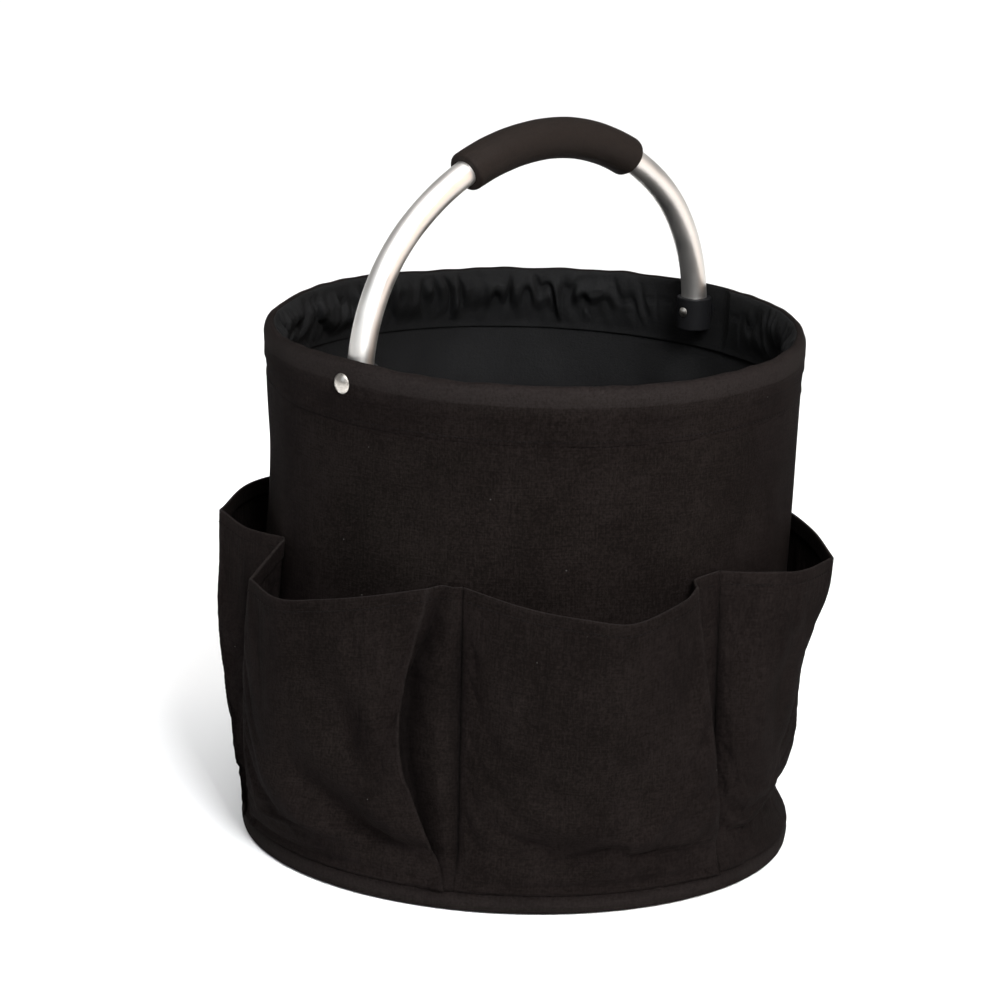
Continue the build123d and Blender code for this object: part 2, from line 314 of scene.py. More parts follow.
def finish_shader(tree, shader, linked, **fixed):
    """Links the sockets that vary over the surface, and sets those that don't on the shader itself."""
    for name, socket in linked.items():
        tree.links.new(socket, shader.inputs[name])
    for name, value in fixed.items():
        shader.inputs[name.replace("_", " ")].default_value = value


# Painted shade: a near-black that stands in for the shade inside folds and along seams.
PAINTED_FOLD_SHADE_COLOUR = (0.0010, 0.0009, 0.0009)
LINT_COLOUR = (0.10, 0.095, 0.09)
LINT_SPACING = 0.016


def cloth_material(name, dark, light, worn, pitch, weave_depth, roughness, specular, lint=True):
    """Woven cloth: a plain weave at its thread pitch, uneven yarns, soft mottling, paler worn edges, painted shade
    inside folds and along seams, and lint.
    """
    material, tree, shader = new_material(name)
    cloth = node(tree, "ShaderNodeUVMap", uv_map="cloth")
    place = object_place(tree)
    split = tree.nodes.new("ShaderNodeSeparateXYZ")
    tree.links.new(cloth, split.inputs[0])
    turns = 2 * math.pi / pitch
    warp = maths(tree, "SINE", maths(tree, "MULTIPLY", split.outputs[0], turns))
    weft = maths(tree, "SINE", maths(tree, "MULTIPLY", split.outputs[1], turns))
    weave = maths(tree, "MULTIPLY", warp, weft)
    along = node(tree, "ShaderNodeMapping", {0: cloth, 3: (1.0, 0.06, 1.0)})
    across = node(tree, "ShaderNodeMapping", {0: cloth, 3: (0.06, 1.0, 1.0)})
    slub = maths(tree, "ADD", noise(tree, along, 0.0009, 1), noise(tree, across, 0.0009, 1))
    grain = noise(tree, place, 0.0016, 3)
    patches = noise(tree, place, 0.035, 3)
    wear_and_fold_shade = node(tree, "ShaderNodeAttribute", output=2, attribute_name="wear_and_shade")
    tone = ranged(tree, grain, 0.33, 0.67, -0.22, 0.44)
    tone = maths(tree, "ADD", tone, ranged(tree, patches, 0.35, 0.65, 0.06, 0.32))
    tone = maths(tree, "ADD", tone, ranged(tree, slub, 0.8, 1.2, -0.14, 0.18))
    tone = maths(tree, "ADD", tone, maths(tree, "MULTIPLY", weave, 0.10))
    tone = node(tree, "ShaderNodeClamp", {0: tone})
    colour = mixed(tree, tone, dark, light)
    broken = maths(tree, "MULTIPLY", ranged(tree, wear_and_fold_shade, 0.0, 1.0), ranged(tree, grain, 0.25, 0.6, 0.55, 1.0))
    colour = mixed(tree, broken, colour, worn)
    # Painted shade: below 0 the attribute darkens the colour towards near-black, in place of the shade in folds and
    # seams.
    colour = mixed(tree, ranged(tree, wear_and_fold_shade, -1.0, 0.0, 0.9, 0.0), colour, PAINTED_FOLD_SHADE_COLOUR)
    if lint:
        cells = tree.nodes.new("ShaderNodeTexVoronoi")
        cells.inputs["Scale"].default_value = 1 / LINT_SPACING
        tree.links.new(place, cells.inputs["Vector"])
        speck = ranged(tree, cells.outputs["Distance"], 0.018, 0.032, 1.0, 0.0)
        few = maths(tree, "GREATER_THAN", node(tree, "ShaderNodeSeparateColor", {0: cells.outputs["Color"]}), 0.66)
        speck = maths(tree, "MULTIPLY", maths(tree, "MULTIPLY", speck, few), 0.55)
        colour = mixed(tree, speck, colour, LINT_COLOUR)
    normal = bump(tree, patches, 0.0008)
    normal = bump(tree, grain, 0.00030, normal)
    normal = bump(tree, maths(tree, "ADD", weave, slub), weave_depth, normal)
    gloss = ranged(tree, grain, 0.3, 0.7, roughness - 0.06, roughness + 0.06)
    finish_shader(
        tree,
        shader,
        {"Base Color": colour, "Normal": normal, "Roughness": gloss},
        Specular_IOR_Level=specular,
    )
    return material


def plain_material(name, dark, light, size, depth, roughness, metallic=0.0, specular=0.5, fine=None, fine_depth=0.0):
    """Solid material with a mottled colour, a lumpy surface of the given size, and a finer grain over it."""
    material, tree, shader = new_material(name)
    place = object_place(tree)
    lumps = noise(tree, place, size, 3)
    colour = mixed(tree, ranged(tree, lumps, 0.3, 0.7), dark, light)
    normal = bump(tree, lumps, depth)
    gloss = ranged(tree, lumps, 0.3, 0.7, roughness * 0.88, roughness * 1.12)
    if fine:
        normal = bump(tree, noise(tree, place, fine, 1), fine_depth, normal)
    finish_shader(
        tree,
        shader,
        {"Base Color": colour, "Normal": normal, "Roughness": gloss},
        Metallic=metallic,
        Specular_IOR_Level=specular,
    )
    return material


CANVAS_CLOTH = cloth_material(
    "black_canvas", dark=(0.0044, 0.0033, 0.0030), light=(0.0128, 0.0099, 0.0091), worn=(0.0205, 0.0172, 0.0162),
    pitch=0.00066, weave_depth=0.00012, roughness=0.90, specular=0.015,
)
LINING_CLOTH = cloth_material(
    "nylon_lining", dark=(0.0064, 0.0064, 0.0065), light=(0.0090, 0.0090, 0.0092), worn=(0.012, 0.012, 0.012),
    pitch=0.00034, weave_depth=0.00002, roughness=0.66, specular=0.05, lint=False,
)
THREAD = plain_material(
    "black_thread", (0.0030, 0.0024, 0.0022), (0.0068, 0.0054, 0.0050), 0.0006, 0.00012, 0.8, specular=0.03
)
FOAM = plain_material(
    "grip_foam", (0.0072, 0.0052, 0.0043), (0.0140, 0.0103, 0.0085), 0.0011, 0.00018, 0.66,
    specular=0.07, fine=0.00035, fine_depth=0.0001,
)
ALUMINIUM = plain_material(
    "satin_aluminium", (0.78, 0.755, 0.72), (0.83, 0.805, 0.77), 0.02, 0.00001, 0.42,
    metallic=1.0, fine=0.0012, fine_depth=0.000002,
)
NICKEL = plain_material(
    "nickel_plate", (0.46, 0.43, 0.39), (0.58, 0.545, 0.50), 0.0015, 0.00002, 0.30,
    metallic=1.0, fine=0.0003, fine_depth=0.00001,
)
NYLON = plain_material(
    "moulded_nylon", (0.0035, 0.0035, 0.0038), (0.0060, 0.0060, 0.0066), 0.0009, 0.00006, 0.46,
    specular=0.12, fine=0.0003, fine_depth=0.00003,
)
HOOP = plain_material("hoop_plastic", (0.045, 0.045, 0.045), (0.06, 0.06, 0.06), 0.002, 0.00004, 0.5)
STEEL = plain_material("splice_steel", (0.50, 0.50, 0.50), (0.60, 0.60, 0.60), 0.0008, 0.00002, 0.35, metallic=1.0)
BOARD = plain_material("base_board", (0.035, 0.035, 0.035), (0.05, 0.05, 0.05), 0.0015, 0.00005, 0.7)


def ready(piece, slot, *nodes, body="bag"):
    """The piece rides on its body and stands for CAD nodes. slot is not used."""
    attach(piece, body)
    if nodes:
        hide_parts(*nodes)
    return piece


# ------------------------------------------------------------
# Wall, lining and base


def round_the_bag(count):
    return np.arange(count) * 360.0 / count


def make_wall():
    angle, height = np.meshgrid(round_the_bag(420), np.linspace(1.2, RIM_SEAM - 0.2, 120), indexing="ij")
    points = polar_points(wall_surface(angle, height), angle, height)
    wall = thicken(grid_object("canvas_wall", points, CANVAS_CLOTH, closed=True), CANVAS)
    ready(wall, "canvas", "outer_wall", "wall_foot")


def lining_radius(angle, height):
    """Inside the wall, and slacker than it, so it only ever dents inwards."""
    broad = wave_sum(11, angle, height, 11, 210)
    slack = 0.4 + 3.4 * broad**2 + 0.5 * np.abs(wave_sum(12, angle, height, 36, 80))
    held = smooth_step(4, 40, height) * smooth_step(RIM_SEAM, RIM_SEAM - 40, height)
    return wall_surface(angle, height) - CANVAS - 0.25 - held * slack


def make_lining():
    angle, height = np.meshgrid(round_the_bag(420), np.linspace(RIM_SEAM - 2, FLOOR_HEIGHT + 0.2, 110), indexing="ij")
    points = polar_points(lining_radius(angle, height), angle, height)
    lining = thicken(grid_object("side_lining", points, LINING_CLOTH, closed=True), -LINING)
    ready(lining, "lining", "wall_lining")


def disc_points(radius, height, ripple, seed, upwards=True):
    """Round sheet as a grid of (angle, distance) points, rippled most between its middle and its edge."""
    reach = radius * np.sqrt(np.linspace(0.0004, 1, 56))
    if upwards:
        reach = reach[::-1]
    angle, distance = np.meshgrid(round_the_bag(240), reach, indexing="ij")
    share = distance / radius
    wrinkle = wave_sum(seed, angle, distance, 7, 150) * share * (1 - share) * 4
    return polar_points(distance, angle, height + ripple * wrinkle)


def make_base():
    points = disc_points(FLOOR_RADIUS - 0.6, FLOOR_HEIGHT + 0.4, ripple=0.35, seed=21)
    floor = grid_object("floor_cloth", points, LINING_CLOTH, closed=True)
    ready(thicken(floor, LINING), "lining", "floor_lining")
    points = disc_points(BASE_RADIUS - 0.4, 0.18, ripple=0.12, seed=22, upwards=False)
    under = grid_object("base_cloth", points, CANVAS_CLOTH, closed=True)
    ready(thicken(under, CANVAS), "canvas", "base_fabric")


BINDING_SECTION = ((169.4, 10.4), (169.9, 11.6), (170.6, 12.1), (171.1, 11.5), (171.4, 9.6), (171.45, 7.2),
                   (171.3, 4.6), (171.0, 2.2), (170.3, 0.75), (169.3, 0.5), (168.8, 1.3))


def section_at(knots, share):
    """Point on a smooth outline through (radius, height) knots, at a share of its length."""
    knots = np.asarray(knots, float)
    length = np.concatenate([[0], np.cumsum(np.linalg.norm(np.diff(knots, axis=0), axis=1))])
    return smooth_curve(length, knots[:, 0], share * length[-1]), smooth_curve(length, knots[:, 1], share * length[-1])


def make_binding():
    angle, share = np.meshgrid(round_the_bag(960), np.linspace(1, 0, 34), indexing="ij")
    radius, height = section_at(BINDING_SECTION, share)
    radius = radius + out_of_round(angle, height)
    twist = np.cos(np.radians(angle) * 150 + height * 0.35 + 2.5 * wave_sum(31, angle, height, 30, 40))
    lumps = 0.07 * twist + 0.26 * wave_sum(32, angle, height, 60, 30)
    outer = np.exp(-(((height - 6.5) / 4.2) ** 2)) * (radius > 169.6)
    points = polar_points(radius + lumps * outer, angle, height)
    binding = grid_object("bottom_trim", points, CANVAS_CLOTH, closed=True, wear_and_shade=0.34 * outer)
    ready(thicken(binding, 0.5), "canvas", "bottom_binding")
    route, outward = ring_route(lambda turn: 171.05 + out_of_round(turn, 10.6), 10.6)
    sewn("bottom_trim_stitches", route, outward, closed=True, pitch=3.8)


# ------------------------------------------------------------
# Rim casing: canvas turned over the hoop, smooth outside and ruched inside

CASING_SECTION = ((163.75, 286.6), (163.95, 290.5), (163.85, 293.5), (164.2, 297.5), (164.4, 300.5), (165.1, 303.5),
                  (165.0, 307.0), (165.4, 311.0), (165.4, 315.5), (164.9, 318.8), (163.7, 321.3), (162.0, 322.8),
                  (160.4, 322.8), (158.9, 321.4), (158.0, 318.5), (157.8, 313.0), (158.2, 305.0), (159.0, 297.0),
                  (160.0, 291.0), (160.7, 287.0), (160.9, 283.2))
CREST_SHARE = 0.478
CASING_ROWS = 92
TURN_ROW = 46
CASING_CLOTH = 0.6
GATHERS = 44
GATHER_DEPTH = 6.8
RUCHED_DROP = 36.0
PIVOT_CLEAR_RADIUS = 161.4
HOOP_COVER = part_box("rim_hoop")[1][0] / MM + 0.8
SPLICE_SIDE = 90.0
RIM_STITCH_HEIGHT = 289.4

# Room for the level handle: the gap round it, how much that eases out downwards, and the angles from the pivot
# between which it grows from the tube to the grip
SWING_GAP = 0.9
SWING_EASE = 1.6
GRIP_START = (47.0, 50.0)


def gathers(angle, drop):
    """Height of the ruching over the casing's inside: pillows that hang from the crest and run out in points, with
    sharp valleys between them. drop goes from 0 at the crest to 1 at the inside seam."""
    rng = np.random.default_rng(41)
    fullness = rng.uniform(0.35, 1.0, GATHERS)
    reach = rng.uniform(0.62, 0.97, GATHERS)
    start = rng.uniform(0.0, 0.16, GATHERS)
    taper = rng.uniform(0.35, 1.0, GATHERS)
    below = drop * RUCHED_DROP
    wander = 0.55 * wave_sum(45, angle, below, 30, 46) + 0.16 * wave_sum(46, angle, below, 80, 34)
    phase = angle * GATHERS / 360 + wander
    cell = np.floor(phase).astype(int) % GATHERS
    across = np.abs(np.sin(math.pi * phase))
    narrowing = taper[cell] * 0.8 * drop
    narrowed = np.clip((across - narrowing) / (1 - narrowing), 0, 1)
    pillow = 1 - (1 - narrowed) ** 1.4
    tall = smooth_step(start[cell], start[cell] + 0.30, drop) * smooth_step(reach[cell], reach[cell] - 0.35, drop)
    crumple = 0.10 * wave_sum(47, angle, below, 160, 22) * smooth_step(0.05, 0.3, drop) * smooth_step(1.0, 0.7, drop)
    return fullness[cell] * pillow * tall + crumple


def crest_lift(angle):
    """How far the crest is out of level: it leans towards the camera's left, except over the hoop's splice, and the
    casing puffs up by the pivot next to the camera."""
    far_side = 0.5 + 0.5 * np.cos(np.radians(angle_gap(angle, 43)))
    tilt = 5.0 * np.cos(np.radians(angle_gap(angle, 313))) * far_side
    tilt = np.maximum(tilt, 0.5 * tilt * smooth_step(8, 26, np.abs(angle_gap(angle, SPLICE_SIDE))))
    return tilt + 2.2 * np.exp(-((angle_gap(angle, 180) / 15.0) ** 2))


def swing_room(angle, height):
    """Radius the handle needs when it lies level with the rim, so the cloth inside the rim keeps clear of it."""
    joint = math.atan2(ARCH_TOP_RADIUS - ARCH_RISE, ARCH_HALF_SPAN - ARCH_SIDE_RADIUS)
    side, top = np.linspace(0, joint, 24), np.linspace(joint, math.pi / 2, 24)
    across = ARCH_HALF_SPAN - ARCH_SIDE_RADIUS * (1 - np.cos(side))
    across = np.concatenate([across, ARCH_TOP_RADIUS * np.cos(top)])
    rise = np.concatenate([ARCH_SIDE_RADIUS * np.sin(side), ARCH_RISE - ARCH_TOP_RADIUS * (1 - np.sin(top))])
    beside = from_pivot(angle)
    centre = np.interp(beside, np.degrees(np.arctan2(rise, across)), np.hypot(across, rise))
    reach = SWING_GAP + np.interp(beside, GRIP_START, (TUBE_RADIUS, GRIP_RADIUS))
    above = height - PIVOT_HEIGHT
    within = reach**2 - np.where(above > 0, above, above / SWING_EASE) ** 2
    return np.where(within > 0, centre + np.sqrt(np.maximum(within, 0)), 0)


def casing_points():
    """The casing's whole face, up its outside, over the crest and down its inside, and its wear."""
    angle, share = np.meshgrid(round_the_bag(1440), np.linspace(0, 1, CASING_ROWS), indexing="ij")
    radius, height = section_at(CASING_SECTION, share)
    drop = np.clip((share - CREST_SHARE) / (1 - CREST_SHARE), 0, 1)
    outside = 1 - smooth_step(CREST_SHARE - 0.08, CREST_SHARE, share)
    beside_pivot = from_pivot(angle)
    bore = PIVOT_CLEAR_RADIUS - 8 * smooth_step(5, 14, beside_pivot)
    radius = np.where(drop > 0, np.maximum(radius, bore), radius)
    growth = smooth_step(8, 30, beside_pivot)
    radius = radius - GATHER_DEPTH * gathers(angle, drop) * growth * smooth_step(0.0, 0.10, drop)
    crest = np.exp(-((drop / 0.16) ** 2)) * (share > 0.3)
    height = height - crest * (0.25 + 0.35 * wave_sum(42, angle, 0, 52, 100)) * smooth_step(4, 16, beside_pivot)
    ripple = 0.20 * wave_sum(43, angle, height, 30, 60) + 0.14 * wave_sum(44, angle, height * 6, 8, 90)
    rivet = np.exp(-((beside_pivot / 3.6) ** 2) - ((height - PIVOT_HEIGHT) / 10.0) ** 2)
    radius = radius + outside * (ripple - 0.35 * rivet) + out_of_round(angle, height) * growth
    worn_edge = 0.34 * outside * smooth_step(303, 316, height)
    height = height + crest_lift(angle) * smooth_step(303, 321, height)
    splice = smooth_step(14, 9, np.abs(angle_gap(angle, SPLICE_SIDE)))
    beside_hoop = (share < CREST_SHARE - 0.055) & (height > 301.2 - 2.4 * splice) & (height < 319.4 + 1.2 * splice)
    radius = np.where(beside_hoop, np.maximum(radius, HOOP_COVER + 0.35 * splice), radius)
    radius = np.where(drop > 0.02, np.maximum(radius, swing_room(angle, height)), radius)
    return polar_points(radius, angle, height), worn_edge + 0.30 * crest


def seam_radius(turn):
    """Radius of the stitches that close the casing, lying on its face."""
    ripple = 0.2 * wave_sum(43, turn, RIM_STITCH_HEIGHT, 30, 60)
    return 163.95 + ripple + out_of_round(turn, RIM_STITCH_HEIGHT)


def make_casing():
    points, wear_and_shade = casing_points()
    up, down = slice(None, TURN_ROW + 1), slice(TURN_ROW, None)
    sleeve = grid_object("rim_sleeve", points[:, up], CANVAS_CLOTH, closed=True, wear_and_shade=wear_and_shade[:, up])
    ready(thicken(sleeve, CASING_CLOTH), "canvas", "rim_casing")
    facing = grid_object("rim_facing", points[:, down], LINING_CLOTH, closed=True, wear_and_shade=wear_and_shade[:, down])
    ready(thicken(facing, CASING_CLOTH), "lining", "rim_casing")
    route, outward = ring_route(seam_radius, RIM_STITCH_HEIGHT)
    sewn("rim_stitches", route, outward, closed=True)


# ------------------------------------------------------------
# Pockets. A hem point is (polar angle, radius, height, polar angle at the foot, kind). Between two creases the hem is
# a smooth line, and a fold is the middle of a gusset, tucked under the panel at the foot. bow turns the panel below a
# hem point sideways, in degrees, and lift stands it off the bag, in millimetres: both are greatest half way down.
# belly is the share of the hem's stand-off that the panel has at each height. strokes are folds: see stroke_height.

SHARE_HEIGHTS = (12.0, 16.0, 22.0, 35.0, 74.0, 138.0, 205.0)
FULL_BELLY = (0.0, 0.0, 0.20, 0.42, 0.62, 0.84, 1.0)
PINCHED_HEIGHTS = (12.0, 35.0, 61.0, 88.0, 127.0, 153.0, 181.0, 205.0)
PINCHED_BELLY = (0.0, 0.02, 0.28, 0.42, 0.47, 0.66, 0.93, 1.0)
POCKETS = {
    "pocket_left_rear": {
        "hem": (
            (96.0, 164.6, 201.0, 90.0, "seam"), (108.0, 172.0, 202.0, 103.0, ""), (118.0, 180.0, 203.0, 116.0, ""),
            (139.5, 192.3, 202.5, 147.4, "crease"), (149.0, 177.5, 198.0, 146.0, "fold"),
            (158.5, 164.2, 199.5, 150.0, "seam"),
        ),
        "bow": {3: -1.5},
        "lift": {3: 2.0},
        "belly": (SHARE_HEIGHTS, FULL_BELLY),
        "strokes": (((108, 40), (132, 150), 12, -1.6), ((120, 30), (140, 90), 9, 1.4)),
    },
    "pocket_left": {
        "hem": (
            (158.5, 164.2, 199.5, 150.0, "seam"), (160.6, 174.0, 193.5, 154.5, "fold"),
            (165.3, 196.3, 182.8, 152.6, "crease"), (176.0, 201.3, 180.6, 165.0, ""),
            (184.5, 195.0, 185.3, 178.0, ""), (192.5, 186.0, 190.3, 192.0, ""), (203.9, 174.0, 197.8, 209.6, "crease"),
            (205.9, 166.2, 198.4, 206.0, "fold"), (208.4, 168.0, 198.4, 209.4, ""),
            (210.3, 165.0, 198.3, 211.0, "seam"),
        ),
        "bow": {6: -6.4, 7: -7.6, 8: -2.4},
        "lift": {5: 2.5, 6: 11.0, 7: -2.0, 8: 3.6},
        "belly": (SHARE_HEIGHTS, FULL_BELLY),
        "strokes": (
            ((178, 70), (207, 16), 11, -5.5), ((182, 98), (206, 34), 11, 4.0), ((190, 150), (199, 84), 11, 4.0),
            ((194, 140), (186, 92), 12, -3.0), ((170, 64), (184, 20), 12, 3.5), ((178, 168), (187, 100), 16, -2.6),
            ((193, 186), (197, 125), 8, 2.2),
        ),
    },
    "pocket_front": {
        "hem": (
            (210.3, 165.4, 198.3, 211.0, "seam"), (218.5, 178.0, 195.8, 216.0, ""), (226.0, 186.0, 192.2, 224.0, ""),
            (234.0, 192.5, 189.2, 233.0, ""), (241.4, 196.5, 186.6, 242.0, ""), (247.6, 192.0, 190.0, 251.0, ""),
            (254.0, 185.5, 195.0, 260.0, ""), (258.2, 178.0, 199.4, 269.3, "crease"),
            (260.6, 167.4, 200.8, 265.4, "fold"), (267.8, 164.8, 201.6, 270.0, "seam"),
        ),
        "bow": {6: -1.0, 7: -0.8, 8: -0.6},
        "lift": {6: 3.0, 7: 9.0, 8: -2.0},
        "belly": (SHARE_HEIGHTS, FULL_BELLY),
        "strokes": (
            ((217, 104), (230, 78), 8, -3.4), ((222, 64), (242, 60), 9, 3.4), ((226, 152), (220, 90), 14, 3.0),
            ((226, 46), (240, 40), 8, -2.4), ((240, 42), (264, 24), 8, -3.6), ((244, 160), (246, 80), 18, -2.6),
            ((256, 120), (265, 40), 9, 3.0), ((252, 60), (243, 30), 9, 3.2),
        ),
    },
    "pocket_right_front": {
        "hem": (
            (267.8, 164.8, 201.6, 270.0, "seam"), (272.1, 170.0, 199.8, 274.0, ""), (279.0, 181.0, 197.7, 281.0, ""),
            (284.5, 188.5, 195.8, 288.0, ""), (297.5, 194.5, 194.5, 301.0, "crease"),
            (308.5, 177.5, 200.5, 312.0, ""), (318.0, 168.6, 201.5, 321.0, ""), (328.0, 164.7, 201.0, 330.0, "seam"),
        ),
        "bow": {1: -3.2, 2: -5.5, 3: -2.0},
        "lift": {1: 9.0, 2: 10.0, 3: 3.0},
        "belly": (PINCHED_HEIGHTS, PINCHED_BELLY),
        "strokes": (
            ((287, 150), (285, 90), 10, -3.0),
            ((288, 90), (298, 46), 8, -2.0), ((276, 40), (296, 24), 8, 1.6),
        ),
    },
    "pocket_right": {
        "hem": (
            (328.0, 164.7, 201.0, 330.0, "seam"), (334.0, 174.0, 196.0, 334.5, "fold"),
            (340.5, 186.5, 190.5, 331.4, "crease"), (350.0, 194.0, 189.0, 345.0, ""), (362.0, 195.0, 188.5, 360.0, ""),
            (373.0, 189.0, 192.0, 375.0, ""), (380.0, 184.0, 196.0, 388.6, "crease"),
            (385.5, 173.5, 198.0, 385.8, "fold"), (391.0, 164.6, 200.0, 390.0, "seam"),
        ),
        "bow": {6: -2.0},
        "lift": {6: 5.0, 7: -1.0},
        "belly": (SHARE_HEIGHTS, FULL_BELLY),
        "strokes": (
            ((345, 70), (368, 26), 10, -2.0), ((352, 150), (360, 80), 14, 1.5), ((372, 120), (384, 40), 9, 1.6),
            ((340, 40), (352, 100), 11, 1.3),
        ),
    },
    "pocket_back": {
        "hem": (
            (391.0, 164.6, 200.0, 390.0, "seam"), (400.5, 177.0, 196.0, 394.2, "fold"),
            (410.0, 190.0, 192.0, 391.6, "crease"), (423.0, 194.3, 188.0, 412.0, ""), (436.0, 190.0, 191.0, 431.0, ""),
            (444.5, 186.0, 195.0, 448.5, "crease"), (450.0, 174.5, 198.0, 446.0, "fold"),
            (456.0, 164.6, 201.0, 450.0, "seam"),
        ),
        "bow": {2: 2.5, 5: -2.0},
        "lift": {2: 4.0, 5: 4.0},
        "belly": (SHARE_HEIGHTS, FULL_BELLY),
        "strokes": (
            ((405, 60), (425, 24), 10, -1.8), ((418, 150), (412, 70), 14, 1.6), ((430, 110), (444, 36), 9, 1.7),
            ((420, 60), (436, 30), 8, 1.1),
        ),
    },
}
PANEL_ROWS = 104
PANEL_COLUMNS = 168
PANEL_OFFSET = 0.45
FOOT_STAND_OFF = 2.1
HEM_DEPTH = 10.0
HEM_STITCH_DROP = 7.0
HEM_ROUND = 0.9
SETTLE_CAP = 4.0
SETTLE_FRAMES = 20
REFOLDED = 0.6
CLOTH_VALUES = {
    "quality": 7, "mass": 0.25, "air_damping": 4.0, "tension_stiffness": 25.0, "compression_stiffness": 25.0,
    "shear_stiffness": 14.0, "bending_stiffness": 1.1, "shrink_min": -0.020, "vertex_group_mass": "held",
}


def hem_values(knots, bows, lifts):
    """Columns of a pocket along its hem: hem x, y and height with the foot angle, then gusset share, bow, lift, how
    near a crease is, how far the layers of a pleat stack up at the foot, and how much painted shade a column gets,
    most inside a fold and along the seams at both ends."""
    places = np.array([(*polar_points(radius, angle, height), foot) for angle, radius, height, foot, _ in knots])
    length = np.concatenate([[0], np.cumsum(np.linalg.norm(np.diff(places[:, :3], axis=0), axis=1))])
    reach = np.linspace(0, length[-1], PANEL_COLUMNS)
    kinds = [knot[4] for knot in knots]
    breaks = [k for k, kind in enumerate(kinds) if kind in ("seam", "crease")]
    columns = np.zeros((PANEL_COLUMNS, 4))
    for first, last in zip(breaks, breaks[1:]):
        part = slice(first, last + 1)
        within = (reach >= length[first] - 1e-6) & (reach <= length[last] + 1e-6)
        for value in range(4):
            columns[within, value] = smooth_curve(length[part], places[part, value], reach[within])
    tucked = np.interp(reach, length, [1.0 if kind == "fold" else 0.0 for kind in kinds])
    bow, lift = (np.interp(reach, length, [at.get(k, 0.0) for k in range(len(knots))]) for at in (bows, lifts))
    crease = sum(np.exp(-(((reach - length[k]) / 2.2) ** 2)) for k in breaks[1:-1])
    stack = [(0.0, 0.0), (length[-1], 0.0)]
    for k, kind in enumerate(kinds):
        if kind == "fold":
            step = 1 if kinds[k + 1] == "crease" else -1
            stack += [(length[k], 0.95), (length[k + step], 1.9), (length[k + step] + step * 16, 0.0)]
    stacked = np.interp(reach, *zip(*sorted(stack)))
    # Painted shade: darkest on each fold and along the seams at both ends, standing in for the shade in those
    # recesses.
    shade = sum(0.6 * np.exp(-(((reach - length[k]) / 5.5) ** 2)) for k, kind in enumerate(kinds) if kind == "fold")
    shade = shade + sum(0.55 * np.exp(-(((reach - end) / 3.2) ** 2)) for end in (0.0, length[-1]))
    return columns, tucked, bow, lift, crease, stacked, shade


def stroke_height(angle, height, strokes):
    """Soft ridges and valleys along straight strokes: ((angle, height), (angle, height), half width, depth)."""
    total = np.zeros(np.shape(angle))
    for (angle_1, height_1), (angle_2, height_2), width, depth in strokes:
        step_x, step_z = (angle_2 - angle_1) * 3.0, height_2 - height_1
        x, z = (angle - angle_1) * 3.0, height - height_1
        along = np.clip((x * step_x + z * step_z) / (step_x**2 + step_z**2), 0, 1)
        off = np.hypot(x - along * step_x, z - along * step_z)
        fade = 0.45 + 0.55 * np.sin(math.pi * np.clip(along, 0.06, 0.94))
        total += depth * fade * np.exp(-((off / width) ** 2))
    return total


def panel_points(name, rows):
    """Face of a pocket at shares of its height from foot to hem: angle, radius, least radius and height of its points,
    how near a crease its columns are and how much painted shade they get, and the depth of its folds."""
    pocket = POCKETS[name]
    columns, tucked, bow, lift, crease, stacked, shade = hem_values(pocket["hem"], pocket["bow"], pocket["lift"])
    hem_radius = np.hypot(columns[:, 0], columns[:, 1])[:, None]
    hem_angle = np.degrees(np.arctan2(columns[:, 1], columns[:, 0]))
    start = pocket["hem"][0][0]
    hem_angle = (start - 5 + (hem_angle - start + 5) % 360)[:, None]
    hem_height, foot_angle = columns[:, 2][:, None], columns[:, 3][:, None]
    rise = rows[None, :]
    fall = np.where(tucked[:, None] > 0, (1 - rise) ** (1 + 2.6 * tucked[:, None]), 1 - rise)
    height = POCKET_FOOT + 0.3 + rise * (hem_height - POCKET_FOOT - 0.3)
    angle = hem_angle + (foot_angle - hem_angle) * fall + bow[:, None] * np.sin(math.pi * rise) ** 1.3
    foot = FOOT_STAND_OFF * smooth_step(30, 14, height)
    base = smooth_curve(WALL_HEIGHTS, WALL_RADII, height) + out_of_round(angle, height) + PANEL_OFFSET + CANVAS + foot
    hem_base = smooth_curve(WALL_HEIGHTS, WALL_RADII, hem_height) + PANEL_OFFSET + CANVAS
    stand_off = np.maximum(hem_radius - hem_base, 0.3)
    share = smooth_curve(*pocket["belly"], height) / smooth_curve(*pocket["belly"], hem_height)
    layers = stacked[:, None] * (1 - rise) ** 3 + lift[:, None] * np.sin(math.pi * rise**0.8) ** 1.5
    seed = 50 + list(POCKETS).index(name)
    loose = np.minimum(stand_off / 10.0, 1.0) * smooth_step(0.0, 0.22, rise) * smooth_step(1.02, 0.86, rise)
    creased = stroke_height(angle, height, pocket["strokes"])
    creased = creased * smooth_step(0.03, 0.2, rise) * smooth_step(1.0, 0.85, rise)
    soft = 0.85 * wave_sum(seed, angle, height, 30, 90) + 0.28 * wave_sum(seed + 10, angle, height, 80, 40)
    pucker = 0.24 * np.cos(np.radians(angle) * 74 + 4.5 * wave_sum(seed + 20, angle, height, 26, 70))
    pucker = pucker * (0.5 + 0.5 * wave_sum(seed + 30, angle, height, 9, 200)) * np.exp(-(((height - 24) / 12.0) ** 2))
    seam_free = smooth_step(0.4, 5.0, stand_off)
    radius = base + share * stand_off + layers + (creased + soft * loose) * seam_free + (pucker + 0.3) * seam_free
    return angle, radius, base, height, crease, shade, creased * seam_free


def spread(values, picks, count, axis):
    """Values known at some places along an axis of a grid, read at all of them by straight lines."""
    return np.apply_along_axis(lambda line: np.interp(np.arange(count), picks, line), axis, values)


